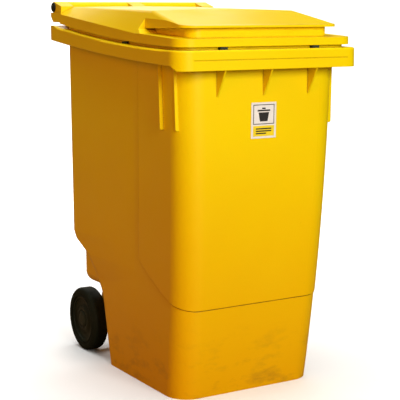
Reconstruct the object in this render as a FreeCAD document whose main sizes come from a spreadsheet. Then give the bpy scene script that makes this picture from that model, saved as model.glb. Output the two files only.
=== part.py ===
"""Two-wheeled bin with a rear-hinged lid, as a parametric FreeCAD document.

Frame: +Z up, +Y towards the hinge and wheels, X across. The origin is on the
floor, on the centre plane, half way between the front rim and the wheels' back.
"""
import FreeCAD, Part
import math
import os
import Sketcher
from FreeCAD import Placement, Rotation, Vector

DIMENSIONS = {
    # tub
    "tub_height": 962, "base_front": 296, "top_front": 377, "front_bow": 20,
    "base_back": 155, "heel_back": 190, "heel_level": 214, "shelf_level": 334,
    "back_wall": 318, "base_half": 227, "top_half": 252, "front_round": 66, "back_round": 42,
    "front_radius": 5820, "wall": 5, "floor_level": 22, "foot_width": 22, "foot_depth": 9,
    # proud upper skin and wide rear shoulders
    "skin_step": 2.5, "seam_front": 260, "seam_reach": 330, "seam_radius": 700, "seam_top": 369,
    "seam_width": 3, "seam_depth": 2.5, "crease_top": 150, "crease_foot": 97,
    "shoulder_level": 392, "shoulder_half": 267, "shoulder_front": 146,
    "housing_half": 232, "housing_back": 305, "housing_level": 232, "housing_round": 36,
    "housing_edge": 34,
    # rim
    "rim_half": 290, "rim_front": 425, "rim_back": 409, "rim_round": 47, "rim_wall": 5,
    "rim_edge": 5,
    "deck_front_level": 962, "deck_back_level": 1024, "deck_bend": 343, "deck_radius": 6400,
    "deck_end_level": 1015, "skirt_front_level": 910, "skirt_side_level": 923,
    "skirt_back_level": 988, "skirt_bend": 385, "skirt_radius": 9700,
    "line_level": 935, "line_high": 2.5, "line_deep": 1.2, "line_half": 243,
    "collar_half": 266, "collar_front": 400, "collar_back": 326, "collar_wall": 4,
    "collar_rise": 9, "rib_thick": 5,
    "gusset_pitch": 145, "gusset_level": 838, "side_rib_level": 752, "side_rib_proud": 265,
    "corner_rib_proud": 255, "side_rib_first": 338, "side_rib_second": 272,
    # hinge
    "hinge_back": 384, "hinge_level": 1083, "knuckle_radius": 17, "pin_radius": 7,
    "running_gap": 0.06, "bar_end": 226.5, "bar_start": 24, "knuckle_end": 272,
    "knuckle_start": 227.5, "centre_knuckle": 23, "pin_head_radius": 14, "pin_head": 5,
    "bracket_thick": 13,
    # lid
    "lid_half": 278, "lid_front": 414, "lid_round": 48, "lid_wall": 3.5, "dome_round": 14,
    "lid_gap": 8,
    "lid_back": 345, "flange_level": 990, "lip_under": 1018.5, "lip_top": 1024.5,
    "lip_half": 246, "lip_front": 389, "lip_round": 40, "grip_half": 222, "grip_front": 372,
    "lip_end": 172, "dome_foot": 356, "plateau_front": 178, "plateau_level": 1067,
    "plateau_front_level": 1059, "plateau_back_level": 1088, "plateau_half": 230,
    "edge_front_level": 975, "edge_back_level": 1071, "cheek_back": 398,
    # wheels
    "wheel_back": 325, "wheel_radius": 100, "wheel_width": 50, "wheel_outer": 231,
    "tyre_depth": 27, "axle_radius": 10, "axle_half": 221, "axle_tube_radius": 18,
    "axle_tube_half": 170, "hub_radius": 30, "hub_start": 175, "hub_end": 224,
    "bush_radius": 13, "bush_end": 204, "latch_offset": 212, "latch_radius": 3.5,
    "latch_pocket": 5.5, "groove_depth": 3, "web_thick": 4, "web_proud": 4,
    # small parts
    "buffer_width": 22, "buffer_depth": 13, "label_width": 80, "label_height": 97,
    "label_thick": 1, "label_level": 772,
}


class Size:
    """A length that is both a number and the sheet expression that gives it."""

    def __init__(self, number, text):
        self.number = float(number)
        self.text = text

    def __add__(self, other):
        other = size(other)
        return Size(self.number + other.number, f"({self.text} + {other.text})")

    def __sub__(self, other):
        other = size(other)
        return Size(self.number - other.number, f"({self.text} - {other.text})")

    def __mul__(self, other):
        other = size(other)
        return Size(self.number * other.number, f"({self.text} * {other.text})")

    def __truediv__(self, other):
        other = size(other)
        return Size(self.number / other.number, f"({self.text} / {other.text})")

    def __neg__(self):
        return Size(-self.number, f"(0 - {self.text})")


def size(item):
    """A sheet alias, a plain number or a Size, as a Size."""
    if isinstance(item, Size):
        return item
    if isinstance(item, str):
        if item.startswith("-"):
            return -size(item[1:])
        return Size(DIMENSIONS[item], f"Dims.{item}")
    return Size(item, repr(float(item)))


def make_sheet(doc):
    sheet = doc.addObject("Spreadsheet::Sheet", "Dims")
    for row, (alias, number) in enumerate(DIMENSIONS.items(), start=1):
        sheet.set(f"A{row}", alias)
        sheet.set(f"B{row}", str(number))
        sheet.setAlias(f"B{row}", alias)
    doc.recompute()
    return sheet


def bind(item, name, length):
    length = size(length)
    if hasattr(item, name):
        setattr(item, name, length.number)
    item.setExpression(name, length.text)


# ---------------------------------------------------------------- sketches

def new_body(doc, name):
    return doc.addObject("PartDesign::Body", name)


def new_sketch(body, name, plane, offset=0):
    """A sketch on one of the body's origin planes, moved along that plane's normal."""
    sketch = body.newObject("Sketcher::SketchObject", name)
    support = next(item for item in body.Origin.OriginFeatures if item.Role == plane)
    sketch.AttachmentSupport = [(support, "")]
    sketch.MapMode = "FlatFace"
    offset = size(offset)
    sketch.AttachmentOffset = Placement(Vector(0, 0, offset.number), Rotation())
    sketch.setExpression(".AttachmentOffset.Base.z", offset.text)
    return sketch


def hold(sketch, kind, *where, length=None):
    """Add a constraint, bound to the sheet when it has a length."""
    if length is None:
        sketch.addConstraint(Sketcher.Constraint(kind, *where))
        return
    length = size(length)
    index = sketch.addConstraint(Sketcher.Constraint(kind, *where, length.number))
    sketch.setExpression(f"Constraints[{index}]", length.text)


def outline(sketch, corners):
    """Closed outline. A corner is (x, y), or (x, y, radius) when the stretch after it is an arc:
    a positive radius turns left, a negative one right."""
    points = [(size(corner[0]), size(corner[1])) for corner in corners]
    first = sketch.GeometryCount
    ends = []
    for index, corner in enumerate(corners):
        start = Vector(points[index][0].number, points[index][1].number, 0)
        following = points[(index + 1) % len(corners)]
        finish = Vector(following[0].number, following[1].number, 0)
        if len(corner) == 2:
            sketch.addGeometry(Part.LineSegment(start, finish), False)
            ends.append((1, 2))
            continue
        radius = size(corner[2]).number
        chord = finish - start
        sag = abs(radius) - math.sqrt(radius ** 2 - (chord.Length / 2) ** 2)
        side = Vector(chord.y, -chord.x, 0).normalize() * math.copysign(sag, radius)
        sketch.addGeometry(Part.Arc(start, (start + finish) * 0.5 + side, finish), False)
        ends.append((1, 2) if radius > 0 else (2, 1))
    for index, corner in enumerate(corners):
        here = first + index
        following = first + (index + 1) % len(corners)
        hold(sketch, "Coincident", here, ends[index][1],
             following, ends[(index + 1) % len(corners)][0])
        hold(sketch, "DistanceX", -1, 1, here, ends[index][0], length=points[index][0])
        hold(sketch, "DistanceY", -1, 1, here, ends[index][0], length=points[index][1])
        if len(corner) == 3:
            radius = size(corner[2])
            hold(sketch, "Radius", here, length=radius if radius.number > 0 else -radius)


def rounded(sketch, half, front, back, front_round, back_round):
    """Rounded rectangle, symmetric across X, from y = -front to y = back."""
    half, front, back = size(half), size(front), size(back)
    front_round, back_round = size(front_round), size(back_round)
    outline(sketch, [
        (-half + front_round, -front),
        (half - front_round, -front, front_round),
        (half, -front + front_round),
        (half, back - back_round, back_round),
        (half - back_round, back),
        (-half + back_round, back, back_round),
        (-half, back - back_round),
        (-half, -front + front_round, front_round),
    ])


def feature(body, kind, name, sketch, length=None, midplane=False, reverse=False):
    """Pad or Pocket a sketch by a length."""
    made = body.newObject(f"PartDesign::{kind}", name)
    made.Profile = sketch
    if hasattr(made, "Midplane") and midplane:
        made.Midplane = True
    made.Reversed = reverse
    bind(made, "Length", length)
    sketch.Visibility = False
    return made


def prism(doc, name, plane, draw, length, offset=0, midplane=False, reverse=False):
    """A body that is one padded sketch; draw fills the sketch."""
    body = new_body(doc, name)
    sketch = new_sketch(body, name + "Sketch", plane, offset)
    draw(sketch)
    feature(body, "Pad", name + "Pad", sketch, length, midplane, reverse)
    return body


def loft(doc, name, plane, sections, ruled=False):
    """A body lofted through sections, each (offset, draw)."""
    body = new_body(doc, name)
    sketches = []
    for index, (offset, draw) in enumerate(sections):
        sketch = new_sketch(body, f"{name}Section{index}", plane, offset)
        draw(sketch)
        sketches.append(sketch)
    made = body.newObject("PartDesign::AdditiveLoft", name + "Loft")
    made.Profile = sketches[0]
    made.Sections = sketches[1:]
    made.Ruled = ruled
    return body


def fuse(doc, name, pieces):
    made = doc.addObject("Part::MultiFuse", name)
    made.Shapes = pieces
    made.Refine = True
    return made


def cut(doc, name, base, tools):
    """Cut the tools from the base one after another; the last result has the name."""
    for number, tool in enumerate(tools, start=1):
        last = number == len(tools)
        made = doc.addObject("Part::Cut", name if last else f"{name}Step{number}")
        made.Base = base
        made.Tool = tool
        base = made
    return base


def common(doc, name, first, second):
    made = doc.addObject("Part::MultiCommon", name)
    made.Shapes = [first, second]
    return made


def cylinder(doc, name, radius, length, across=0, back=0, up=0, axis="X"):
    """Cylinder that starts at the given point and runs along +axis."""
    made = doc.addObject("Part::Cylinder", name)
    bind(made, "Radius", radius)
    bind(made, "Height", length)
    turn = {"X": Rotation(Vector(0, 1, 0), 90), "Y": Rotation(Vector(1, 0, 0), -90),
            "Z": Rotation()}[axis]
    place(made, across, back, up, turn)
    return made


def place(made, across, back, up, turn=None):
    """Put a primitive's origin at a point given by sheet expressions."""
    across, back, up = size(across), size(back), size(up)
    made.Placement = Placement(Vector(across.number, back.number, up.number), turn or Rotation())
    made.setExpression(".Placement.Base.x", across.text)
    made.setExpression(".Placement.Base.y", back.text)
    made.setExpression(".Placement.Base.z", up.text)


# ---------------------------------------------------------------- tub and rim

FAR = 700


def tub_front(level):
    """Distance of the bowed front wall in front of the origin at a height."""
    part = size(level) / "tub_height"
    bow = size("front_bow") * 4 * part * (size(1) - part)
    return size("base_front") + (size("top_front") - "base_front") * part + bow


def tub_half(level):
    part = size(level) / "tub_height"
    return size("base_half") + (size("top_half") - "base_half") * part


def edges_where(shape, test):
    """Names of the edges that pass a test of their middle point and their size."""
    names = []
    for number, edge in enumerate(shape.Edges, start=1):
        middle = edge.valueAt((edge.FirstParameter + edge.LastParameter) / 2)
        box = edge.BoundBox
        if test(middle, Vector(box.XLength, box.YLength, box.ZLength)):
            names.append(f"Edge{number}")
    return names


def fillet(doc, body, name, radius, test):
    doc.recompute()
    base = body.Tip
    made = body.newObject("PartDesign::Fillet", name)
    made.Base = (base, edges_where(base.Shape, test))
    bind(made, "Radius", radius)
    return made


def soften(doc, name, base, radius, test):
    """Round the edges of a part that pass a test of their middle point and their size."""
    doc.recompute()
    made = doc.addObject("Part::Fillet", name)
    made.Base = base
    radius = size(radius).number
    made.Edges = [(int(edge[4:]), radius, radius) for edge in edges_where(base.Shape, test)]
    return made


def tub(doc, name, grow):
    """The tub: a bowed front, drafted sides, and a back that steps out over the wheels."""
    grow = size(grow)
    top = size("tub_height") + 90
    back = size("back_wall") - 8 + grow

    def side_view(sketch):
        outline(sketch, [
            (-tub_front(0) - grow, 0),
            (size("base_back") + grow, 0),
            (size("heel_back") + grow, size("heel_level") - grow * 0.42),
            (back, size("shelf_level") + 3 - grow * 0.42),
            (back, top),
            (-tub_front(top) - grow, top, "front_radius"),
        ])

    def draft(hand):
        def draw(sketch):
            outline(sketch, [
                ((tub_half(0) + grow) * hand, 0), ((tub_half(top) + grow) * hand, top),
                (FAR * hand, top), (FAR * hand, 0),
            ])
        return draw

    body = prism(doc, name, "YZ_Plane", side_view, 2 * FAR - 200, midplane=True)
    for hand, side in ((-1, "Left"), (1, "Right")):
        sketch = new_sketch(body, name + "Draft" + side, "XZ_Plane")
        draft(hand)(sketch)
        feature(body, "Pocket", name + "Side" + side, sketch, 2 * FAR, midplane=True)
    heel = DIMENSIONS["heel_level"]
    fillet(doc, body, name + "Heel", 70,
           lambda middle, span: middle.y > 0 and abs(middle.z - heel) < 12 and span.z < 1)
    fillet(doc, body, name + "FrontCorners", size("front_round") + grow,
           lambda middle, span: middle.y < 0 and abs(middle.x) > 100 and span.z > 500)
    fillet(doc, body, name + "BackCorners", size("back_round") + grow,
           lambda middle, span: middle.y > 100 and abs(middle.x) > 100 and span.z > 20
           and middle.z < 600)
    return body


def shoulders(doc, name, shrink):
    """The rear half of the tub: it widens from a crease to the back and fades lower down."""
    shrink = size(shrink)

    def plan(half, front, back, root):
        half, front, back = size(half) - shrink, size(front) - shrink, size(back) - shrink
        bend = size("back_round") - shrink

        def draw(sketch):
            outline(sketch, [
                (-(half - root), -front),
                (half - root, -front),
                (half, back - bend, bend),
                (half - bend, back),
                (-(half - bend), back, bend),
                (-half, back - bend),
            ])
        return draw

    low = size("shoulder_level")
    wide, crease, rear = size("shoulder_half"), size("shoulder_front"), size("back_wall")
    sections = [
        (size("tub_height") + 90, plan(wide, crease, rear, 14)),
        (low + shrink, plan(wide - 14, crease - 47, rear + 32, 17)),
        (low - 24 + shrink, plan(wide - 17, crease - 50, rear + 22, 14.5)),
        (low - 62 + shrink, plan(wide - 22, crease - 54, rear - 50, 10.5)),
        (low - 142 + shrink, plan(wide - 35, crease - 60, rear - 118, 1)),
    ]
    return loft(doc, name, "XY_Plane", sections, ruled=True)


def wheel_housing(doc, name, shrink):
    """Boxy rear bay above the wheels that the axle webs hang from."""
    shrink = size(shrink)

    def plan(sketch):
        rounded(sketch, size("housing_half") - shrink, -size("base_back") + 8,
                size("housing_back") - shrink, 5, size("housing_round") - shrink)

    low = size("housing_level") + shrink
    body = prism(doc, name, "XY_Plane", plan, size("shelf_level") + 4 - low, offset=low)
    fillet(doc, body, name + "Edge", size("housing_edge") - shrink,
           lambda middle, span: abs(middle.z - low.number) < 0.5 and middle.y > 160)
    return body


def seam_region(sketch):
    """The skin's side view: above the seam round the front, ahead of the crease on the sides."""
    outline(sketch, [
        (-FAR, "seam_front"),
        (-size("seam_reach"), "seam_front", "seam_radius"),
        ("-crease_foot", "seam_top"),
        ("-crease_top", 1100),
        (-FAR, 1100),
    ])


def seam_groove(doc):
    """Shallow groove along the seam, cut into the tub's outer skin."""
    def band(sketch):
        reach, level, top = size("seam_reach"), size("seam_front"), size("seam_top")
        wide, foot = size("seam_width"), size("crease_foot")
        outline(sketch, [
            (-FAR, level - wide), (-reach, level - wide, "seam_radius"), (-foot, top - wide),
            (-foot, top, -size("seam_radius")), (-reach, level), (-FAR, level),
        ])

    region = prism(doc, "SeamBand", "YZ_Plane", band, 2 * FAR, midplane=True)
    ring = common(doc, "SeamRing", region, tub(doc, "SeamOuter", "skin_step"))
    return cut(doc, "SeamGroove", ring, [tub(doc, "SeamInner", -size("seam_depth"))])


def deck_profile(drop):
    """Corners along the curved top of the rim, lowered by a drop, from front to back."""
    return [
        (-FAR, size("deck_front_level") - drop),
        ("-rim_front", size("deck_front_level") - drop, "deck_radius"),
        ("deck_bend", size("deck_back_level") - drop, -90),
        (size("rim_back") + 6, size("deck_end_level") - drop),
    ]


def above_deck(doc, name, drop):
    def draw(sketch):
        outline(sketch, deck_profile(drop) + [(FAR, size("deck_end_level") - drop),
                                              (FAR, 1400), (-FAR, 1400)])
    return prism(doc, name, "YZ_Plane", draw, 2 * FAR, midplane=True)


def rim(doc):
    """Down-turned rim: a deck with a skirt, deeper across the front."""
    def plan(inset):
        return lambda sketch: rounded(
            sketch, size("rim_half") - inset, size("rim_front") - inset,
            size("rim_back") - inset, size("rim_round") - inset, size("rim_round") - inset)

    def below(sketch):
        outline(sketch, [
            (-FAR, "skirt_front_level"),
            (-size("skirt_bend") - 20, "skirt_front_level"),
            ("-skirt_bend", "skirt_side_level", "skirt_radius"),
            ("rim_back", "skirt_back_level"),
            (FAR, "skirt_back_level"),
            (FAR, 700),
            (-FAR, 700),
        ])

    block = prism(doc, "RimBlock", "XY_Plane", plan(0), 200, offset=880)
    core = prism(doc, "RimCore", "XY_Plane", plan("rim_wall"), 220, offset=870)
    hollow = cut(doc, "RimHollow", core, [above_deck(doc, "UnderDeck", "rim_wall")])
    low = prism(doc, "RimLow", "YZ_Plane", below, 2 * FAR, midplane=True)
    topped = cut(doc, "RimTopped", block, [above_deck(doc, "OverDeck", 0)])
    rounded_top = soften(doc, "RimRounded", topped, "rim_edge",
                         lambda middle, span: middle.z > 950 and middle.y < 300
                         and span.x + span.y > 60)
    line = doc.addObject("Part::Box", "SkirtLine")
    bind(line, "Length", size("line_half") * 2)
    bind(line, "Width", size("line_deep") * 2)
    bind(line, "Height", "line_high")
    place(line, "-line_half", -size("rim_front") - "line_deep", "line_level")
    return cut(doc, "RimShell", rounded_top, [low, hollow, line])


def collar(doc):
    """Upright wall on the deck that the lid closes around."""
    def plan(inset):
        return lambda sketch: rounded(
            sketch, size("collar_half") - inset, size("collar_front") - inset,
            size("collar_back") - inset, size("rim_round") - inset, size("rim_round") - inset)

    outer = prism(doc, "CollarOuter", "XY_Plane", plan(0), 110, offset=950)
    inner = prism(doc, "CollarInner", "XY_Plane", plan("collar_wall"), 120, offset=945)
    return cut(doc, "Collar", outer,
               [inner, above_deck(doc, "CollarTop", -size("collar_rise")),
                below_deck(doc)])


def below_deck(doc):
    def draw(sketch):
        outline(sketch, deck_profile("rim_wall") + [
            (FAR, size("deck_end_level") - "rim_wall"), (FAR, 800), (-FAR, 800)])
    return prism(doc, "BelowDeck", "YZ_Plane", draw, 2 * FAR, midplane=True)


def ribs(doc):
    """Triangular gussets under the front rim and upright ribs under the side rims."""
    def gusset(sketch):
        outline(sketch, [
            (-size("rim_front") + 2, size("skirt_front_level") + 2),
            (-size("rim_front") + 2, size("skirt_front_level") + 20),
            (-size("top_front") + 8, size("skirt_front_level") + 20),
            (-size("top_front") + 8, "gusset_level"),
            (-size("top_front") - 1, "gusset_level"),
        ])

    def side_rib(hand, proud):
        proud = size(proud)

        def draw(sketch):
            outline(sketch, [
                (size("top_half") * hand - 30 * hand, "side_rib_level"),
                (proud * hand - 8 * hand, "side_rib_level"),
                (proud * hand - 4 * hand, size("side_rib_level") + 3),
                (proud * hand, size("skirt_side_level") + 20),
                (size("top_half") * hand - 30 * hand, size("skirt_side_level") + 20),
            ])
        return draw

    def overhang_rib(sketch):
        outline(sketch, [
            (size("back_wall") - 20, size("skirt_back_level") - 46),
            (size("rim_back") - 3, size("skirt_back_level") + 4),
            (size("rim_back") - 3, size("deck_end_level") - 2),
            (size("back_wall") - 20, size("deck_end_level") - 2),
        ])

    made = []
    for number, step in enumerate((-1, 0, 1)):
        made.append(prism(doc, f"Gusset{number}", "YZ_Plane", gusset, "rib_thick",
                          offset=size("gusset_pitch") * step - size("rib_thick") / 2))
    for number, across in enumerate((-205, -70, 70, 205)):
        made.append(prism(doc, f"OverhangRib{number}", "YZ_Plane", overhang_rib, "rib_thick",
                          offset=across - DIMENSIONS["rib_thick"] / 2))
    for hand, side in ((-1, "Left"), (1, "Right")):
        for tag, front, proud in (("Corner", "side_rib_first", "corner_rib_proud"),
                                  ("Side", "side_rib_second", "side_rib_proud")):
            made.append(prism(doc, f"{tag}Rib{side}", "XZ_Plane", side_rib(hand, proud),
                              "rib_thick", offset=size(front) - size("rib_thick") / 2))
    return made


def hinge_carrier(doc):
    """Brackets on the rear overhang and the two handle bars that the pins run through."""
    def bracket(sketch):
        outline(sketch, [
            (size("hinge_back") - 34, size("deck_end_level") - 4),
            (size("hinge_back") + 20, size("deck_end_level") - 4),
            (size("hinge_back") + 16, size("hinge_level") + 3),
            (size("hinge_back") - 15, size("hinge_level") + 6),
        ])

    made = []
    for hand, side in ((-1, "Left"), (1, "Right")):
        length = size("bar_end") - "bar_start"
        start = size("bar_start") if hand > 0 else -size("bar_end")
        made.append(cylinder(doc, f"Bar{side}", "knuckle_radius", length,
                             start, "hinge_back", "hinge_level"))
        near = start
        far = start + length - "bracket_thick"
        made.append(prism(doc, f"Bracket{side}A", "YZ_Plane", bracket, "bracket_thick", offset=near))
        made.append(prism(doc, f"Bracket{side}B", "YZ_Plane", bracket, "bracket_thick", offset=far))
    return made


def axle_carrier(doc):
    """Cross tube for the axle on webs that stand out of the lower back wall."""
    def web(sketch):
        outline(sketch, [
            (size("base_back") - 2, 45),
            (size("wheel_back") + 6, size("wheel_radius") - 17),
            (size("wheel_back") + 6, size("wheel_radius") + 17),
            (size("housing_back") - "housing_edge", size("housing_level") + 2),
            (size("heel_back") - 6, size("housing_level") + 2),
        ])

    made = [cylinder(doc, "AxleTube", "axle_tube_radius", size("axle_tube_half") * 2,
                     "-axle_tube_half", "wheel_back", "wheel_radius")]
    for number, step in enumerate((-1, -0.5, 0, 0.5, 1)):
        offset = (size("axle_tube_half") - 4) * step - 4
        made.append(prism(doc, f"AxleWeb{number}", "YZ_Plane", web, 8, offset=offset))
    return made


def bin_body(doc):
    skin = common(doc, "UpperSkin", tub(doc, "SkinTub", "skin_step"),
                  prism(doc, "SeamRegion", "YZ_Plane", seam_region, 2 * FAR, midplane=True))
    walls = fuse(doc, "TubWalls", [tub(doc, "OuterTub", 0), skin, shoulders(doc, "Outer", 0),
                                   wheel_housing(doc, "HousingOuter", 0)])
    trimmed = cut(doc, "TubTrimmed", walls, [above_deck(doc, "TubTop", 0)])
    mass = fuse(doc, "BinMass", [trimmed, rim(doc), collar(doc)] + ribs(doc)
                + hinge_carrier(doc) + axle_carrier(doc))

    inside = tub(doc, "InnerTub", -size("wall"))
    bottom = doc.addObject("Part::Box", "InnerFloor")
    bind(bottom, "Length", 2 * FAR)
    bind(bottom, "Width", 2 * FAR)
    bind(bottom, "Height", "floor_level")
    place(bottom, -FAR, -FAR, -1)
    hollow = cut(doc, "TubHollow", inside, [bottom])
    recess = prism(doc, "FootRecess", "XY_Plane",
                   lambda sketch: rounded(sketch, size("base_half") - "foot_width",
                                          size("base_front") - "foot_width",
                                          size("base_back") - "foot_width", 55, 22),
                   "foot_depth", offset=0)
    bores = [cylinder(doc, "AxleBore", size("axle_radius") + "running_gap", 500,
                      -250, "wheel_back", "wheel_radius"),
             cylinder(doc, "PinBore", size("pin_radius") + "running_gap", 600,
                      -300, "hinge_back", "hinge_level")]
    return cut(doc, "bin_body", mass, [seam_groove(doc), hollow, recess,
                                       shoulders(doc, "Inner", "wall"),
                                       wheel_housing(doc, "HousingInner", "wall")] + bores)


# ---------------------------------------------------------------- lid

def lid_shape(doc, name, inset):
    """Hipped dome with its skirt, as a loft along Y cut by the sloping front."""
    inset = size(inset)
    stations = [
        (-size("lid_front") - 20, "edge_front_level", "plateau_front_level"),
        (size("lid_back") + 70, "edge_back_level", "plateau_back_level"),
    ]

    def section(edge, top):
        edge = size(edge) - inset
        top = size(top) - inset

        def draw(sketch):
            half = size("lid_half") - inset
            flat = size("plateau_half") - inset * 0.5
            outline(sketch, [
                (-half, 900), (half, 900), (half, edge), (flat, top - 2, 9000),
                (-flat, top - 2), (-half, edge),
            ])
        return draw

    dome = loft(doc, name + "Dome", "XZ_Plane",
                [(-size(back), section(edge, top)) for back, edge, top in stations], ruled=True)

    def plan(sketch):
        rounded(sketch, size("lid_half") - inset, size("lid_front") - inset,
                size("lid_back") - inset, size("lid_round") - inset, 20)

    def front(sketch):
        lip = size("lip_top") - inset
        outline(sketch, [
            (-FAR, lip), (-size("lip_front") + inset, lip),
            (-size("dome_foot") + inset, lip + 3),
            (-size("plateau_front") + inset, size("plateau_level") - inset),
            (-size("plateau_front") + 100, size("plateau_level") + 30),
            (-size("plateau_front") + 100, 1300), (-FAR, 1300),
        ])

    def relief(sketch):
        back, top = size("lid_back"), size("plateau_back_level") - inset
        outline(sketch, [(back - 34, top), (back - 34, 1300), (back + 90, 1300),
                         (back + 90, top - 60), (back, top - 22)])

    plate = prism(doc, name + "Plan", "XY_Plane", plan, 260, offset=900)
    reliefs = []
    for hand, side in ((-1, "Left"), (1, "Right")):
        start = size("bar_start") + 6 if hand > 0 else -size("bar_end") + 6
        reliefs.append(prism(doc, f"{name}Relief{side}", "YZ_Plane", relief,
                             size("bar_end") - "bar_start" - 12, offset=start))
    slope = prism(doc, name + "Slope", "YZ_Plane", front, 2 * FAR, midplane=True)
    return common(doc, name, cut(doc, name + "Hip", dome, [slope] + reliefs), plate)


def lid_flange(doc, name, inset):
    """Upright band round the front of the lid, below the grip groove."""
    inset = size(inset)

    def plan(sketch):
        rounded(sketch, size("lid_half") - inset, size("lid_front") - inset,
                -size("lip_end") + 40, size("lid_round") - inset, 5)

    def side_view(sketch):
        level = size("flange_level") - inset
        outline(sketch, [
            (-FAR, 900), (-size("lip_end") + 60, 900), (-size("lip_end") + 60, level + 16),
            (-size("lip_end") - 22, level + 15), ("-lid_front", level), (-FAR, level),
        ])

    plate = prism(doc, name + "Plan", "XY_Plane", plan, 260, offset=900)
    band = prism(doc, name + "Side", "YZ_Plane", side_view, 2 * FAR, midplane=True)
    return common(doc, name, plate, band)


def lid_underside(doc):
    """Everything below the curved lower edge of the lid's skirt."""
    def draw(sketch):
        corners = deck_profile(-size("lid_gap"))
        outline(sketch, corners[:2] + [
            (size("lid_back") - 2, size("deck_back_level") + size("lid_gap") + 3),
            (size("cheek_back") + 60, size("deck_back_level") + size("lid_gap") + 9),
            (size("cheek_back") + 60, 700), (-FAR, 700)])
    return prism(doc, "LidUnderside", "YZ_Plane", draw, 2 * FAR, midplane=True)


def grip_groove(doc, name, inset):
    """The finger groove round the front of the lid, under the overhanging lip."""
    inset = size(inset)

    def wide(sketch):
        outline(sketch, [
            (-FAR, "flange_level"),
            ("-lid_front", "flange_level"),
            (-size("lip_end") - 22, size("flange_level") + 15),
            ("-lip_end", "lip_under"),
            (-FAR, "lip_under"),
        ])

    def above(sketch):
        outline(sketch, [(-FAR, size("lip_under") - 1), ("-lip_end", size("lip_under") - 1),
                         (-size("lip_end") + 8, 1300), (-FAR, 1300)])

    def wall(sketch):
        rounded(sketch, size("grip_half") - inset, size("grip_front") - inset, 200, 34, 20)

    def lip(sketch):
        rounded(sketch, "lip_half", "lip_front", 200, "lip_round", 20)

    band = prism(doc, name + "Band", "YZ_Plane", wide, 2 * FAR, midplane=True)
    core = prism(doc, name + "Core", "XY_Plane", wall, 300, offset=900)
    crown = prism(doc, name + "Crown", "YZ_Plane", above, 2 * FAR, midplane=True)
    disc = prism(doc, name + "Disc", "XY_Plane", lip, 400, offset=900)
    return [cut(doc, name + "Lower", band, [core]), cut(doc, name + "Upper", crown, [disc])]


def lid(doc):
    block = soften(doc, "LidRounded", lid_shape(doc, "LidBlock", 0), "dome_round",
                   lambda middle, span: middle.z > 1025 and span.y > 100 and span.z > 3)
    grooved = cut(doc, "LidGrooved", block, grip_groove(doc, "Groove", 0))
    outer = fuse(doc, "LidOuter", [grooved, lid_flange(doc, "Flange", 0)])
    core = cut(doc, "LidCoreGrooved", lid_shape(doc, "LidCore", "lid_wall"), inner_groove(doc))
    inner = fuse(doc, "LidInner", [core, lid_flange(doc, "FlangeCore", "lid_wall")])
    shell = cut(doc, "LidShell", outer, [inner, lid_underside(doc)])

    def arm(sketch):
        back, up, out = size("hinge_back"), size("hinge_level"), size("knuckle_radius")
        outline(sketch, [
            (size("lid_back") - 14, up - 24), (back, up - out), (back, up + out),
            (size("lid_back") - 14, up + 2),
        ])

    def cheek(sketch):
        back, up = size("hinge_back"), size("hinge_level")
        outline(sketch, [
            (size("lid_back") - 26, size("deck_back_level") + 12),
            (back - 4, size("deck_back_level") + 14), (back + 12, up - 28),
            (back + 12, up - 16), (size("lid_back") - 26, up - 16),
        ])

    def cheek_tie(sketch):
        back, up = size("hinge_back"), size("hinge_level")
        outline(sketch, [
            (size("lid_back") - 8, up - 30), (back - 12, up - 26), (back - 6, up - 18),
            (size("lid_back") - 8, up - 18),
        ])

    spans = [(-size("knuckle_end"), size("knuckle_end") - "knuckle_start"),
             (-size("centre_knuckle"), size("centre_knuckle") * 2),
             (size("knuckle_start"), size("knuckle_end") - "knuckle_start")]
    pieces = [shell]
    for number, (start, length) in enumerate(spans):
        pieces.append(cylinder(doc, f"Knuckle{number}", "knuckle_radius", length,
                               start, "hinge_back", "hinge_level"))
        pieces.append(prism(doc, f"Arm{number}", "YZ_Plane", arm, length, offset=start))
    for hand, side in ((-1, "Left"), (1, "Right")):
        start = -size("lid_half") if hand < 0 else size("lid_half") - "lid_wall"
        pieces.append(prism(doc, f"Cheek{side}", "YZ_Plane", cheek, "lid_wall", offset=start))
        tie = size("lid_half") - "knuckle_start"
        start = -size("lid_half") if hand < 0 else size("knuckle_start")
        pieces.append(prism(doc, f"CheekTie{side}", "YZ_Plane", cheek_tie, tie, offset=start))
    bore = cylinder(doc, "KnuckleBore", size("pin_radius") + 0.01, 600,
                    -300, "hinge_back", "hinge_level")
    return cut(doc, "lid", fuse(doc, "LidMass", pieces), [bore])


def inner_groove(doc):
    """The grip groove grown inwards by the lid's wall, so the groove keeps a skin behind it."""
    skin = size("lid_wall")

    def band(sketch):
        outline(sketch, [
            (-FAR, size("flange_level") - skin),
            ("-lid_front", size("flange_level") - skin),
            (-size("lip_end") - 22, size("flange_level") + 15 - skin),
            (-size("lip_end") + skin * 2, size("lip_under") - 2),
            (-size("lip_end") + skin * 2, 1300),
            (-FAR, 1300),
        ])

    def wall(sketch):
        rounded(sketch, size("grip_half") - skin, size("grip_front") - skin, 200, 32, 20)

    outer = prism(doc, "InnerBand", "YZ_Plane", band, 2 * FAR, midplane=True)
    core = prism(doc, "InnerCore", "XY_Plane", wall, 500, offset=880)
    return [cut(doc, "InnerGroove", outer, [core])]


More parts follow.
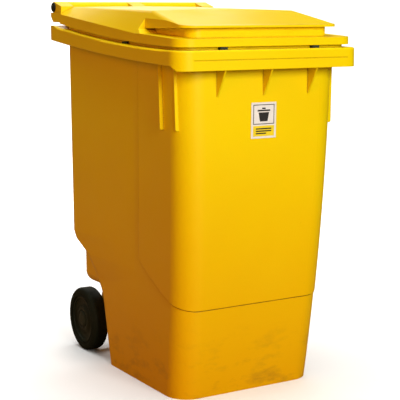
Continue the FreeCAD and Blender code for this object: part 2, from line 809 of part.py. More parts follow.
def hinge_pin(doc, hand, side):
    """Stepped pin: a broad head outside the end knuckle, a shank to the centre knuckle."""
    name = f"hinge_pin_{side}"
    body = new_body(doc, name)
    sketch = new_sketch(body, name + "_profile", "XZ_Plane")
    head = size("knuckle_end") + "pin_head"
    shank_end = size(2)
    outline(sketch, [
        (shank_end * hand, 0),
        (shank_end * hand, size("pin_radius") - 1.5),
        (shank_end * hand + 1.5 * hand, "pin_radius"),
        (size("knuckle_end") * hand, "pin_radius"),
        (size("knuckle_end") * hand, "pin_head_radius"),
        (head * hand - 1.5 * hand, "pin_head_radius"),
        (head * hand, size("pin_head_radius") - 2),
        (head * hand, 0),
    ])
    turned = body.newObject("PartDesign::Revolution", name + "_turned")
    turned.Profile = sketch
    turned.ReferenceAxis = (sketch, ["H_Axis"])
    turned.Angle = 360
    place(body, 0, "hinge_back", "hinge_level")
    return body


# ---------------------------------------------------------------- wheels

def turned_piece(doc, name, corners):
    """A piece turned about the axle; corners are (distance from the centre plane, radius)."""
    body = new_body(doc, name)
    sketch = new_sketch(body, name + "_profile", "XZ_Plane")
    outline(sketch, corners)
    turned = body.newObject("PartDesign::Revolution", name + "_turned")
    turned.Profile = sketch
    turned.ReferenceAxis = (sketch, ["H_Axis"])
    turned.Angle = 360
    place(body, 0, "wheel_back", "wheel_radius")
    return body


def mirrored(hand, corners):
    """Flip turned corners to the other side of the centre plane."""
    flipped = []
    for corner in corners:
        across = size(corner[0]) if hand > 0 else -size(corner[0])
        if len(corner) == 2:
            flipped.append((across, corner[1]))
        else:
            radius = size(corner[2])
            flipped.append((across, corner[1], radius if hand > 0 else -radius))
    return flipped


def tyre(doc, hand, side):
    outer = size("wheel_outer")
    inner = outer - "wheel_width"
    edge = size("wheel_radius") - 12
    low = size("wheel_radius") - "tyre_depth"
    return turned_piece(doc, f"tyre_{side}", mirrored(hand, [
        (inner + 3, low), (inner, low + 5), (inner, edge, -12),
        (inner + 12, "wheel_radius"), (outer - 12, "wheel_radius", -12),
        (outer, edge), (outer, low + 5), (outer - 3, low),
    ]))


def wheel_rim(doc, hand, side):
    """Rim bed, dished disc and long hub, with a pocket above the axle for the latch."""
    name = f"wheel_rim_{side}"
    outer = size("wheel_outer")
    inner = outer - "wheel_width"
    bed = size("wheel_radius") - "tyre_depth"
    disc = outer - 15
    blank = turned_piece(doc, name + "_blank", mirrored(hand, [
        ("hub_start", "bush_radius"), ("hub_start", size("hub_radius") - 4),
        (disc - 5, size("hub_radius") - 1), (disc - 5, bed - 6),
        (inner + 3, bed - 6), (inner + 3, bed), (outer - 3, bed), (outer - 4, bed - 6),
        (disc, bed - 8), (disc, "hub_radius"), (size("hub_end") - 2, "hub_radius"),
        ("hub_end", size("hub_radius") - 2), ("hub_end", "bush_radius"),
    ]))
    webs = []
    start = disc - 1 if hand > 0 else -(disc + "web_proud")
    back_start = size("hub_start") + 6 if hand > 0 else -(disc - 4)
    for number in range(10):
        turn = Rotation(Vector(1, 0, 0), 36 * number + 18)
        for tag, begin, length in (("front", start, size("web_proud") + 1),
                                   ("back", back_start, disc - 10 - "hub_start")):
            web = doc.addObject("Part::Box", f"{name}_{tag}{number}")
            bind(web, "Length", length)
            bind(web, "Width", "web_thick")
            bind(web, "Height", bed - 4 - "hub_radius")
            shift = turn.multVec(Vector(0, -DIMENSIONS["web_thick"] / 2,
                                        DIMENSIONS["hub_radius"] - 2))
            web.Placement = Placement(Vector(begin.number, DIMENSIONS["wheel_back"] + shift.y,
                                             DIMENSIONS["wheel_radius"] + shift.z), turn)
            webs.append(web)
    latch = size("latch_offset") * hand
    sleeve = doc.addObject("Part::Cylinder", name + "_sleeve")
    bind(sleeve, "Radius", "bush_radius")
    bind(sleeve, "Height", size("hub_end") - "bush_end")
    sleeve_start = size("bush_end") if hand > 0 else -size("hub_end")
    place(sleeve, sleeve_start, "wheel_back", "wheel_radius", Rotation(Vector(0, 1, 0), 90))
    axle_bore = cylinder(doc, name + "_bore", size("axle_radius") + 0.5, 80,
                         size("hub_start") - 5 if hand > 0 else -size("hub_start") - 75,
                         "wheel_back", "wheel_radius")
    pocket = cylinder(doc, name + "_pocket", "latch_pocket", size("hub_radius") - 3,
                      latch, "wheel_back", "wheel_radius", axis="Z")
    ring = cut(doc, name + "_ring", sleeve, [axle_bore])
    whole = fuse(doc, name + "_mass", [blank, ring] + webs)
    return cut(doc, name, whole, [pocket])


def hub_bush(doc, hand, side):
    return turned_piece(doc, f"hub_bush_{side}", mirrored(hand, [
        ("hub_start", size("axle_radius") + "running_gap"), ("hub_start", "bush_radius"),
        ("bush_end", "bush_radius"), ("bush_end", size("axle_radius") + "running_gap"),
    ]))


def axle_washer(doc, hand, side):
    start = size("axle_tube_half") + 0.3
    end = size("hub_start") - 0.3
    return turned_piece(doc, f"axle_washer_{side}", mirrored(hand, [
        (start, size("axle_radius") + "running_gap"), (start, 17), (end, 17),
        (end, size("axle_radius") + "running_gap"),
    ]))


def hub_cap(doc, hand, side):
    face = size("hub_end")
    return turned_piece(doc, f"hub_cap_{side}", mirrored(hand, [
        (face, 0), (face, size("hub_radius") - 3), (face + 3, size("hub_radius") - 3),
        (face + 6, size("hub_radius") - 9), (face + 7, size("hub_radius") - 16), (face + 7, 0),
    ]))


def latch_pin(doc, hand, side):
    """Pin that drops into the axle's groove and holds the wheel on."""
    foot = size("wheel_radius") + "axle_radius" - "groove_depth" + 0.3
    shank = cylinder(doc, f"latch_shank_{side}", "latch_radius", 10,
                     size("latch_offset") * hand, "wheel_back", foot, axis="Z")
    collar_ring = cylinder(doc, f"latch_collar_{side}", size("latch_pocket") - 0.1, 3,
                           size("latch_offset") * hand, "wheel_back", foot + 3.4, axis="Z")
    return fuse(doc, f"latch_pin_{side}", [shank, collar_ring])


def latch_spring(doc, hand, side):
    """Coil spring between the latch collar and the closed end of its pocket."""
    name = f"latch_spring_{side}"
    foot = (DIMENSIONS["wheel_radius"] + DIMENSIONS["axle_radius"]
            - DIMENSIONS["groove_depth"] + 0.3 + 6.4)
    top = DIMENSIONS["wheel_radius"] + DIMENSIONS["hub_radius"] - 3
    wire = 0.45
    height = top - foot - 2 * wire - 0.1
    coil = DIMENSIONS["latch_pocket"] - wire - 0.3
    helix = Part.makeHelix(height / 5, height, coil)
    start = helix.Edges[0].valueAt(helix.Edges[0].FirstParameter)
    along = helix.Edges[0].tangentAt(helix.Edges[0].FirstParameter)
    section = Part.Wire(Part.makeCircle(wire, start, along))
    made = doc.addObject("Part::Feature", name)
    made.Shape = Part.Wire(helix.Edges).makePipeShell([section], True, True)
    made.Placement = Placement(Vector(DIMENSIONS["latch_offset"] * hand, DIMENSIONS["wheel_back"],
                                      foot + wire + 0.05), Rotation())
    return made


def axle(doc):
    """Steel rod with a turned groove near each end for the wheel latches."""
    body = new_body(doc, "axle")
    sketch = new_sketch(body, "axle_profile", "XZ_Plane")
    end = size("axle_half")
    low = size("axle_radius") - "groove_depth"
    near = size("latch_offset") - "latch_radius" - 0.8
    far = size("latch_offset") + "latch_radius" + 0.8
    outline(sketch, [
        (-end, 0), (end, 0), (end, size("axle_radius") - 1.5), (end - 1.5, "axle_radius"),
        (far, "axle_radius"), (far, low), (near, low), (near, "axle_radius"),
        (-near, "axle_radius"), (-near, low), (-far, low), (-far, "axle_radius"),
        (-end + 1.5, "axle_radius"), (-end, size("axle_radius") - 1.5),
    ])
    turned = body.newObject("PartDesign::Revolution", "axle_turned")
    turned.Profile = sketch
    turned.ReferenceAxis = (sketch, ["H_Axis"])
    turned.Angle = 360
    place(body, 0, "wheel_back", "wheel_radius")
    return body


# ---------------------------------------------------------------- small parts

def front_buffer(doc, hand, side):
    """Rubber stop under the lid's front flange."""
    name = f"buffer_front_{side}"
    block = doc.addObject("Part::Box", name)
    bind(block, "Length", "buffer_width")
    bind(block, "Width", "buffer_depth")
    bind(block, "Height", size("lid_gap") - 1.4)
    place(block, size("gusset_pitch") * hand - size("buffer_width") / 2,
          -size("lid_front") + 1, size("deck_front_level") + 1)
    return block


def side_buffer(doc, hand, side):
    """Rubber stop under the lid's side flange."""
    name = f"buffer_side_{side}"
    block = doc.addObject("Part::Box", name)
    bind(block, "Length", 9)
    bind(block, "Width", "buffer_width")
    bind(block, "Height", size("lid_gap") - 2.4)
    across = size("lid_half") * hand - (size(9) if hand > 0 else size(0))
    place(block, across, -115, size("deck_front_level") + 16)
    return block


def label_plate(doc):
    """Thin label that lies flat against the front wall."""
    plate = doc.addObject("Part::Box", "label_plate")
    bind(plate, "Length", "label_width")
    bind(plate, "Width", "label_thick")
    bind(plate, "Height", "label_height")
    low = size("label_level") - size("label_height") / 2
    high = size("label_level") + size("label_height") / 2
    lean = math.atan2(tub_front(high).number - tub_front(low).number,
                      DIMENSIONS["label_height"])
    skin = tub_front("label_level") + "skin_step" + "label_thick" + 0.45
    rise = DIMENSIONS["label_height"] / 2
    plate.Placement = Placement(
        Vector(-DIMENSIONS["label_width"] / 2, -skin.number + math.sin(lean) * rise,
               low.number), Rotation(Vector(1, 0, 0), math.degrees(lean)))
    return plate


# ---------------------------------------------------------------- document

def build(doc):
    nodes = [bin_body(doc), lid(doc), axle(doc), label_plate(doc)]
    for hand, side in ((-1, "left"), (1, "right")):
        nodes += [
            hinge_pin(doc, hand, side), front_buffer(doc, hand, side),
            side_buffer(doc, hand, side), tyre(doc, hand, side), wheel_rim(doc, hand, side),
            hub_bush(doc, hand, side), hub_cap(doc, hand, side), axle_washer(doc, hand, side),
            latch_pin(doc, hand, side), latch_spring(doc, hand, side),
        ]
    return nodes


def check(doc, nodes):
    for item in doc.Objects:
        if {"Invalid", "Error"} & set(item.State):
            raise RuntimeError(f"{item.Name} failed: {item.State}")
    for node in nodes:
        if node.Shape.isNull() or not node.Shape.isValid():
            raise RuntimeError(f"{node.Label} has no valid shape")


def main():
    doc = FreeCAD.newDocument("WheeledBin")
    make_sheet(doc)
    nodes = build(doc)
    doc.recompute()
    check(doc, nodes)
    os.makedirs("parts", exist_ok=True)
    for node in nodes:
        node.Shape.exportStep(f"parts/{node.Label}.step")
        print(node.Label, len(node.Shape.Solids), round(node.Shape.Volume))


main()
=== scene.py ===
"""Looks of the two-wheeled bin: plastics, rubber, label, wheel details, springs and studio."""
import math

import bmesh
import bpy
from mathutils import Matrix, Vector


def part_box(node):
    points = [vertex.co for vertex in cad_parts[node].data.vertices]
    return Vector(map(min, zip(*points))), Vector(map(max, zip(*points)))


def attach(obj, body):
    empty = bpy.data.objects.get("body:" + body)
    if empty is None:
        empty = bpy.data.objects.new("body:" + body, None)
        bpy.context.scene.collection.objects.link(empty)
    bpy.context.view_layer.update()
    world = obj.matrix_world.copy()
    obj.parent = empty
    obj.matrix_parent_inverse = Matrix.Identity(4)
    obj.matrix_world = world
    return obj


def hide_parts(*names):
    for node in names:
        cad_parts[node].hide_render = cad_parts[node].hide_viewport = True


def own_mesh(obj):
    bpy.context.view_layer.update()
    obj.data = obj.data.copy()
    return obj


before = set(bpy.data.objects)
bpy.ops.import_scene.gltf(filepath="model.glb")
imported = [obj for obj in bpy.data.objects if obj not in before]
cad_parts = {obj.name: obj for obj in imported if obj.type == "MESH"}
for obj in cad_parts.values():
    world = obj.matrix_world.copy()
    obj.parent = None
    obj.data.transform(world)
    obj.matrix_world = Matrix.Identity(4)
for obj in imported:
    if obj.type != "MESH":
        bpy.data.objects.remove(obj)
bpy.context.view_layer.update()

SIDES = ("left", "right")


# ---------------------------------------------------------------- node helpers

class Graph:
    """Small helper around a material's node tree."""

    def __init__(self, name):
        self.material = bpy.data.materials.new(name)
        self.material.use_nodes = True
        self.tree = self.material.node_tree
        self.nodes = self.tree.nodes
        self.shader = self.nodes["Principled BSDF"]
        self.place = self.add("ShaderNodeTexCoord").outputs["Object"]

    def add(self, kind, **settings):
        node = self.nodes.new(kind)
        for name, value in settings.items():
            setattr(node, name, value)
        return node

    def link(self, source, target):
        self.tree.links.new(source, target)

    def noise(self, scale, detail=4.0, rough=0.5, place=None):
        """Noise from 0 to 1; a higher scale is finer."""
        node = self.add("ShaderNodeTexNoise")
        node.inputs["Scale"].default_value = scale
        node.inputs["Detail"].default_value = detail
        node.inputs["Roughness"].default_value = rough
        self.link(place or self.place, node.inputs["Vector"])
        return node.outputs["Fac"]

    def stretched(self, factors):
        """The position with each axis scaled, which draws a noise out into streaks."""
        node = self.add("ShaderNodeMapping")
        node.inputs["Scale"].default_value = factors
        self.link(self.place, node.inputs["Vector"])
        return node.outputs["Vector"]

    def ramp(self, source, stops):
        """Turn a value into colours or greys through stops of (position, colour)."""
        node = self.add("ShaderNodeValToRGB")
        ramp = node.color_ramp
        while len(ramp.elements) < len(stops):
            ramp.elements.new(0.5)
        for element, (position, colour) in zip(ramp.elements, stops):
            element.position = position
            element.color = (*colour, 1) if isinstance(colour, tuple) else (colour,) * 3 + (1,)
        self.link(source, node.inputs["Fac"])
        return node.outputs["Color"]

    def blend(self, factor, first, second):
        """Mix two colours or values by a factor; any of them may be a socket."""
        node = self.add("ShaderNodeMix", data_type="RGBA")
        for value, socket in ((factor, node.inputs[0]), (first, node.inputs[6]),
                              (second, node.inputs[7])):
            if isinstance(value, (int, float)):
                socket.default_value = value
            elif isinstance(value, tuple):
                socket.default_value = (*value, 1)
            else:
                self.link(value, socket)
        return node.outputs[2]

    def sum(self, first, second, kind="ADD"):
        """Add two values, or multiply them with kind MULTIPLY."""
        node = self.add("ShaderNodeMath", operation=kind)
        for value, socket in ((first, node.inputs[0]), (second, node.inputs[1])):
            if isinstance(value, (int, float)):
                socket.default_value = value
            else:
                self.link(value, socket)
        return node.outputs[0]

    def bump(self, height, distance, strength=1.0, edge=0.0008):
        """Surface relief on top of softly rounded edges."""
        node = self.add("ShaderNodeBump")
        soft = self.add("ShaderNodeBevel", samples=6)
        soft.inputs["Radius"].default_value = edge
        self.link(soft.outputs["Normal"], node.inputs["Normal"])
        node.inputs["Distance"].default_value = distance
        node.inputs["Strength"].default_value = strength
        self.link(height, node.inputs["Height"])
        self.link(node.outputs["Normal"], self.shader.inputs["Normal"])

    def set(self, **values):
        """Set the shader's inputs; an underscore in a name stands for a space."""
        for name, value in values.items():
            socket = self.shader.inputs[name.replace("_", " ")]
            if isinstance(value, (int, float)):
                socket.default_value = value
            elif isinstance(value, tuple):
                socket.default_value = (*value, 1)[:len(socket.default_value)]
            else:
                self.link(value, socket)


# ---------------------------------------------------------------- materials

def moulded_yellow():
    """Pigmented polyethylene: cloudy colour, fine orange peel, rubbed patches, grime near the floor,
    painted shade towards the bottom and painted shade in crevices.
    """
    g = Graph("moulded_yellow")
    cloud = g.ramp(g.noise(2.2, 3), [(0.3, (0.82, 0.59, 0.0)), (0.7, (0.87, 0.66, 0.0))])
    place = g.add("ShaderNodeSeparateXYZ")
    g.link(g.place, place.inputs[0])
    # Painted shade: the colour turns darker and more orange towards the bottom, up to 0.75 m.
    low = g.ramp(place.outputs["Z"], [(0.0, 1.0), (0.75, 0.0)])
    warm = g.blend(g.sum(low, 0.75, "MULTIPLY"), cloud, (0.78, 0.31, 0.0))
    smudge = g.ramp(g.noise(16, 8, 0.65, g.stretched((0.6, 0.6, 1.3))), [(0.5, 0.0), (0.72, 1.0)])
    near_floor = g.ramp(place.outputs["Z"], [(0.0, 1.0), (0.22, 0.0)])
    dirt = g.sum(g.sum(smudge, near_floor, "MULTIPLY"), 0.6, "MULTIPLY")
    # Dark grime smudges near the floor, laid over the colour with its painted shade.
    grimy_and_shaded = g.blend(dirt, warm, (0.30, 0.14, 0.01))
    specks = g.ramp(g.noise(160, 2, 0.4), [(0.72, 0.0), (0.76, 1.0)])
    specked = g.blend(g.sum(specks, 0.10, "MULTIPLY"), grimy_and_shaded, (0.45, 0.22, 0.01))
    # Painted shade: an occlusion node darkens crevices, grooves and joints to a shaded orange, in
    # patches.
    crevice_occlusion = g.add("ShaderNodeAmbientOcclusion", samples=8, only_local=True)
    crevice_occlusion.inputs["Distance"].default_value = 0.007
    painted_crevice_shade = g.ramp(crevice_occlusion.outputs["AO"], [(0.35, 0.85), (0.78, 0.0)])
    patchy = g.ramp(g.noise(18, 4, 0.6), [(0.3, 0.45), (0.6, 1.0)])
    colour = g.blend(g.sum(painted_crevice_shade, patchy, "MULTIPLY"), specked, (0.27, 0.10, 0.008))
    scratches = g.ramp(g.noise(22, 6, 0.7, g.stretched((14, 14, 0.6))), [(0.60, 0.0), (0.66, 1.0)])
    rough = g.ramp(g.noise(5, 5, 0.6), [(0.3, 0.36), (0.75, 0.48)])
    rough = g.blend(g.sum(scratches, 0.25, "MULTIPLY"), rough, (0.6, 0.6, 0.6))
    g.set(Base_Color=colour, Roughness=rough, Subsurface_Weight=0.08,
          Subsurface_Radius=(0.02, 0.009, 0.001), Specular_IOR_Level=0.22,
          Specular_Tint=(1.0, 0.86, 0.55))
    g.shader.inputs["Subsurface Scale"].default_value = 0.02
    peel = g.sum(g.noise(420, 2, 0.5), g.sum(g.noise(38, 3, 0.5), 1.8, "MULTIPLY"))
    grooves = g.sum(scratches, -0.25, "MULTIPLY")
    g.bump(g.sum(peel, grooves), 0.00014, 0.5, 0.0025)
    return g.material


def moulded_black(name, tone, rough_low=0.38, rough_high=0.6, grain=500, shine=0.4):
    """Carbon-filled plastic with a spark-eroded grain and pale dust."""
    g = Graph(name)
    dust = g.ramp(g.noise(14, 7, 0.65), [(0.45, 0.0), (0.85, 1.0)])
    colour = g.blend(g.sum(dust, 0.5, "MULTIPLY"), (tone * 0.6, tone, tone * 0.45),
                     (tone * 2.2, tone * 3.0, tone * 1.4))
    rough = g.ramp(g.noise(30, 5, 0.6), [(0.3, rough_low), (0.7, rough_high)])
    g.set(Base_Color=colour, Roughness=rough, Specular_IOR_Level=shine)
    g.bump(g.sum(g.noise(grain, 2, 0.5), g.noise(60, 3, 0.5)), 0.00012, 0.7)
    return g.material


def plated_steel(name, tint, rough):
    """Zinc plate: faint bands of colour, brushed streaks and dull stains."""
    g = Graph(name)
    bands = g.ramp(g.noise(60, 4, 0.6, g.stretched((0.3, 1, 1))),
                   [(0.35, tuple(0.8 * part for part in tint)), (0.65, tint)])
    stains = g.ramp(g.noise(25, 8, 0.7), [(0.6, 0.0), (0.8, 1.0)])
    colour = g.blend(g.sum(stains, 0.5, "MULTIPLY"), bands, (0.30, 0.25, 0.2))
    roughness = g.ramp(g.noise(90, 4, 0.6, g.stretched((0.1, 1, 1))),
                       [(0.3, rough), (0.7, rough + 0.18)])
    g.set(Base_Color=colour, Roughness=roughness, Metallic=1.0)
    g.bump(g.noise(700, 2, 0.5, g.stretched((0.1, 1, 1))), 0.00005, 0.5)
    return g.material


def film(name, tint, rough=0.3):
    """Printed polyester film with faint mottling and fine handling scratches."""
    g = Graph(name)
    mottled = g.ramp(g.noise(40, 5, 0.6), [(0.3, tuple(0.9 * part for part in tint)),
                                           (0.7, tint)])
    marks = g.ramp(g.noise(70, 6, 0.7, g.stretched((6, 1, 1))), [(0.62, 0.0), (0.7, 1.0)])
    colour = g.blend(g.sum(marks, 0.18, "MULTIPLY"), mottled, (0.35, 0.32, 0.28))
    g.set(Base_Color=colour, Roughness=g.blend(marks, (rough,) * 3, (rough + 0.25,) * 3))
    g.bump(g.noise(500, 2, 0.5), 0.00003, 0.5)
    return g.material


def dress(name, material):
    """Give a node or piece one material."""
    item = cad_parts[name] if isinstance(name, str) else name
    item.data.materials.clear()
    item.data.materials.append(material)
    return item


YELLOW = moulded_yellow()
BLACK = moulded_black("moulded_black", 0.013, shine=0.22)
TYRE = moulded_black("tyre_rubber", 0.009, 0.6, 0.85, 260, 0.15)
RUBBER = moulded_black("stop_rubber", 0.02, 0.6, 0.8, 400)
NYLON = moulded_black("bush_nylon", 0.3, 0.35, 0.5, 600)
ZINC = plated_steel("zinc_plate", (0.72, 0.71, 0.68), 0.28)
WIRE = plated_steel("spring_wire", (0.6, 0.6, 0.6), 0.22)
WHITE_FILM = film("white_film", (0.82, 0.82, 0.79))
YELLOW_FILM = film("yellow_film", (0.86, 0.68, 0.02))
INK = film("black_ink", (0.018, 0.018, 0.018), 0.4)


def dress_frame():
    """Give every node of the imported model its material."""
    for name, material in (("bin_body", YELLOW), ("lid", YELLOW), ("axle", ZINC),
                           ("label_plate", WHITE_FILM)):
        dress(name, material)
    for side in SIDES:
        for name, material in (("tyre", TYRE), ("wheel_rim", BLACK), ("hub_cap", BLACK),
                               ("hub_bush", NYLON), ("axle_washer", ZINC), ("latch_pin", ZINC),
                               ("latch_spring", WIRE), ("hinge_pin", BLACK),
                               ("buffer_front", RUBBER), ("buffer_side", RUBBER)):
            dress(f"{name}_{side}", material)


dress_frame()


# ---------------------------------------------------------------- small pieces

def piece(name, vertices, faces, material, body):
    """A mesh that moves with one CAD body."""
    mesh = bpy.data.meshes.new(name)
    mesh.from_pydata(vertices, [], faces)
    shape = bmesh.new()
    shape.from_mesh(mesh)
    bmesh.ops.remove_doubles(shape, verts=shape.verts, dist=1e-6)
    bmesh.ops.recalc_face_normals(shape, faces=shape.faces)
    shape.to_mesh(mesh)
    shape.free()
    item = bpy.data.objects.new(name, mesh)
    bpy.context.scene.collection.objects.link(item)
    dress(item, material)
    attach(item, body)
    return item


LABEL_LOW, LABEL_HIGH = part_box("label_plate")
LABEL_THICK = 0.001
PRINT_THICK = 0.0003
PRINT_SINK = 0.0001
TURN_STEPS = 96


def label_point(across, up, lift):
    """A point over the label's leaning face; across and up run from -1 to 1."""
    share = (up + 1) / 2
    foot = LABEL_HIGH[1] - LABEL_THICK
    depth = foot + share * (LABEL_LOW[1] - foot)
    return (across * LABEL_HIGH[0], depth - lift,
            LABEL_LOW[2] + share * (LABEL_HIGH[2] - LABEL_LOW[2]))


def printed(name, shapes, material, layer=0):
    """Ink or film on the label: each shape is a convex outline in label units."""
    vertices, faces = [], []
    bottom = layer * PRINT_THICK - PRINT_SINK
    top = (layer + 1) * PRINT_THICK
    for outline in shapes:
        first, count = len(vertices), len(outline)
        for lift in (bottom, top):
            vertices += [label_point(across, up, lift) for across, up in outline]
        faces.append([first + number for number in range(count)])
        faces.append([first + count + number for number in range(count)])
        for number in range(count):
            after = (number + 1) % count
            faces.append([first + number, first + after,
                          first + count + after, first + count + number])
    return piece(name, vertices, faces, material, "bin")


def bar(left, right, low, high):
    """A rectangle in label units."""
    return [(left, low), (right, low), (right, high), (left, high)]


def label_print():
    """A plain pictogram of a bin over a yellow field with ruled lines."""
    printed("label_field", [bar(-0.84, 0.84, -0.88, -0.30)], YELLOW_FILM)
    ruled = [bar(-0.62, 0.62, -0.50, -0.43), bar(-0.62, 0.62, -0.63, -0.56),
             bar(-0.62, 0.20, -0.76, -0.69)]
    printed("label_lines", ruled, INK, 1)
    printed("label_frame", [
        bar(-0.84, 0.84, 0.84, 0.88), bar(-0.84, 0.84, -0.22, -0.18),
        bar(-0.84, -0.79, -0.18, 0.84), bar(0.79, 0.84, -0.18, 0.84)], INK)
    printed("label_symbol", [
        [(-0.30, -0.06), (0.30, -0.06), (0.42, 0.44), (-0.42, 0.44)],
        bar(-0.50, 0.50, 0.50, 0.59), bar(-0.14, 0.14, 0.62, 0.70)], INK)


def turned(name, profile, middle, material, body):
    """A ring or dish about the wheel axis from a closed profile of (x, radius)."""
    vertices, faces = [], []
    count = len(profile)
    for step in range(TURN_STEPS):
        turn = 2 * math.pi * step / TURN_STEPS
        vertices += [(x, middle[1] + radius * math.cos(turn), middle[2] + radius * math.sin(turn))
                     for x, radius in profile]
    for step in range(TURN_STEPS):
        after = (step + 1) % TURN_STEPS
        for number in range(count):
            other = (number + 1) % count
            faces.append([step * count + number, step * count + other,
                          after * count + other, after * count + number])
    item = piece(name, vertices, faces, material, body)
    for polygon in item.data.polygons:
        polygon.use_smooth = True


def wheel_details(side):
    """Moulded rings on the tyre's side wall and a shallow dish over the rim's webs."""
    low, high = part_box(f"tyre_{side}")
    middle = [(a + b) / 2 for a, b in zip(low, high)]
    radius = (high[2] - low[2]) / 2
    out = -1 if side == "left" else 1
    face = low[0] if side == "left" else high[0]
    body = f"wheel_{side}"

    def ring(name, depth, proud, width=0.004, sink=0.001, shoulder=0.0006, crown=0.0014):
        """A low rounded ring whose inner edge lies at a depth below the tread."""
        start = radius - depth
        end = radius - (depth - width)
        profile = [(face - out * sink, start), (face + out * proud * 0.6, start + shoulder),
                   (face + out * proud, start + crown), (face + out * proud, end - crown),
                   (face + out * proud * 0.6, end - shoulder), (face - out * sink, end)]
        turned(f"{name}_{side}", profile, middle, TYRE, body)

    ring("tyre_ring", 0.0165, 0.0008)
    ring("tyre_bead", 0.0265, 0.0010)
    rim = face - out * 0.003
    hub = 0.0285
    dish = [(rim, radius - 0.0275), (rim, radius - 0.0295),
            (face - out * 0.010, radius - 0.036), (face - out * 0.0105, 0.046),
            (face - out * 0.006, 0.041), (face - out * 0.004, 0.034),
            (face - out * 0.004, hub), (face - out * 0.0055, hub),
            (face - out * 0.0075, 0.041), (face - out * 0.012, 0.046),
            (face - out * 0.0115, radius - 0.035), (rim - out * 0.003, radius - 0.0275)]
    turned(f"wheel_dish_{side}", dish, middle, BLACK, body)


def pressed_spring(side):
    """The latch's coil, whose outer end sits in the hub: a copy of the spring that moves with the
    wheel in place of the hidden spring node.
    """
    node = f"latch_spring_{side}"
    coil = bpy.data.objects.new(f"latch_coil_{side}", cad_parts[node].data.copy())
    bpy.context.scene.collection.objects.link(coil)
    dress(coil, WIRE)
    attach(coil, f"wheel_{side}")
    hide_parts(node)
    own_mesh(coil)


label_print()
for hand in SIDES:
    wheel_details(hand)
    pressed_spring(hand)


# ---------------------------------------------------------------- stage

def floor():
    """Pale floor that sweeps up behind the bin."""
    mesh = bpy.data.meshes.new("studio_floor")
    span, depth, bend, rise, steps = 14.0, 9.0, 3.0, 8.0, 16
    profile = [(-depth, 0.0), (depth - bend, 0.0)]
    for step in range(1, steps + 1):
        turn = math.pi / 2 * step / steps
        profile.append((depth - bend + bend * math.sin(turn), bend - bend * math.cos(turn)))
    profile.append((depth, rise))
    vertices = [(x, y, z) for y, z in profile for x in (-span, span)]
    faces = [(2 * k, 2 * k + 1, 2 * k + 3, 2 * k + 2) for k in range(len(profile) - 1)]
    mesh.from_pydata(vertices, [], faces)
    for polygon in mesh.polygons:
        polygon.use_smooth = True
    sweep = bpy.data.objects.new("studio_floor", mesh)
    facing = -30
    sweep.rotation_euler = (0, 0, math.radians(facing))
    bpy.context.scene.collection.objects.link(sweep)
    g = Graph("studio_floor")
    pale = g.ramp(g.noise(1.5, 3), [(0.3, (0.93, 0.93, 0.92)), (0.7, (0.96, 0.96, 0.95))])
    seen = g.add("ShaderNodeLightPath").outputs["Is Camera Ray"]
    g.set(Base_Color=g.blend(seen, (0.20, 0.11, 0.04), pale), Roughness=0.55)
    mesh.materials.append(g.material)
    return sweep


def lamp(name, where, target, size, power, tint=(1, 1, 1)):
    """A rectangular lamp that points at its target."""
    data = bpy.data.lights.new(name, "AREA")
    data.shape = "RECTANGLE"
    data.size, data.size_y = size
    data.energy = power
    data.color = tint
    item = bpy.data.objects.new(name, data)
    item.location = where
    item.rotation_euler = (Vector(target) - Vector(where)).to_track_quat("-Z", "Y").to_euler()
    bpy.context.scene.collection.objects.link(item)
    return item


def restrict(light, item, state):
    """Keep one lamp's light off one object, or on that object alone."""
    group = bpy.data.collections.new(light.name + "_group")
    group.objects.link(item)
    light.light_linking.receiver_collection = group
    group.collection_objects[0].light_linking.link_state = state


def backdrop():
    """Soft warm light from all round, which the camera itself sees as plain white."""
    world = bpy.data.worlds.new("studio")
    world.use_nodes = True
    nodes, links = world.node_tree.nodes, world.node_tree.links
    nodes["Background"].inputs["Color"].default_value = (1.0, 0.9, 0.75, 1)
    nodes["Background"].inputs["Strength"].default_value = 0.14
    white = nodes.new("ShaderNodeBackground")
    white.inputs["Color"].default_value = (1.0, 1.0, 1.0, 1)
    seen = nodes.new("ShaderNodeLightPath")
    either = nodes.new("ShaderNodeMixShader")
    links.new(seen.outputs["Is Camera Ray"], either.inputs["Fac"])
    links.new(nodes["Background"].outputs["Background"], either.inputs[1])
    links.new(white.outputs["Background"], either.inputs[2])
    links.new(either.outputs["Shader"], nodes["World Output"].inputs["Surface"])
    bpy.context.scene.world = world


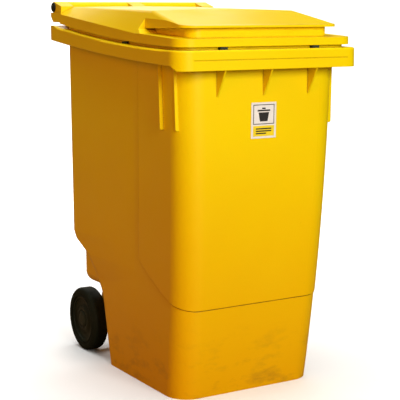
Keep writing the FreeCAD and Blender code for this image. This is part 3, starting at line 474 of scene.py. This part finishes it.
def lights(sweep):
    """Key, fill and top light on the bin, and a cool wash that keeps the floor white."""
    middle = (0, 0, 0.6)
    lamp("key", (-0.1, -4.65, 2.3), middle, (2.0, 2.0), 184, (1.0, 0.98, 0.93))
    fill = lamp("fill", (-4.2, -2.4, 2.3), middle, (2.6, 2.6), 78, (1.0, 0.34, 0.05))
    restrict(fill, sweep, "EXCLUDE")
    wash = lamp("wash", (0, -1.0, 5.0), (0, -1.0, 0), (8.0, 8.0), 190, (0.90, 0.96, 1.0))
    restrict(wash, sweep, "INCLUDE")
    lamp("top", (0.3, -0.3, 4.4), middle, (2.4, 2.4), 84)
    lamp("glint", (-0.7, -4.4, 0.3), (0, 0, 0.7), (0.5, 1.0), 10)
    back = lamp("back", (1.6, 4.2, 2.4), middle, (2.5, 2.5), 45, (1.0, 0.95, 0.88))
    restrict(back, sweep, "EXCLUDE")
    lamp("sweep", (0.0, 3.0, 5.0), (0, 7.5, 1.5), (6.0, 3.0), 900)


def camera():
    """The viewpoint: front left, a little above the lid, with a long lens."""
    data = bpy.data.cameras.new("camera")
    data.sensor_width = 36
    data.lens = 103
    data.clip_end = 60
    item = bpy.data.objects.new("camera", data)
    distance, aside, below = 3.4256, 0.0161, 0.0425
    turn, lift, roll = math.radians(-30.36), math.radians(8.75), math.radians(-0.45)
    back = Vector((math.sin(turn) * math.cos(lift), -math.cos(turn) * math.cos(lift),
                   math.sin(lift)))
    flat = Vector((math.cos(turn), math.sin(turn), 0))
    rise = back.cross(flat)
    right = flat * math.cos(roll) + rise * math.sin(roll)
    up = rise * math.cos(roll) - flat * math.sin(roll)
    aim = Vector((0, -0.004, 0.55)) + flat * aside - rise * below
    centre = aim + back * distance
    item.matrix_world = Matrix((
        (right.x, up.x, back.x, centre.x), (right.y, up.y, back.y, centre.y),
        (right.z, up.z, back.z, centre.z), (0, 0, 0, 1)))
    bpy.context.scene.collection.objects.link(item)
    bpy.context.scene.camera = item
    bpy.context.scene.view_settings.view_transform = "Standard"


lights(floor())
backdrop()
camera()
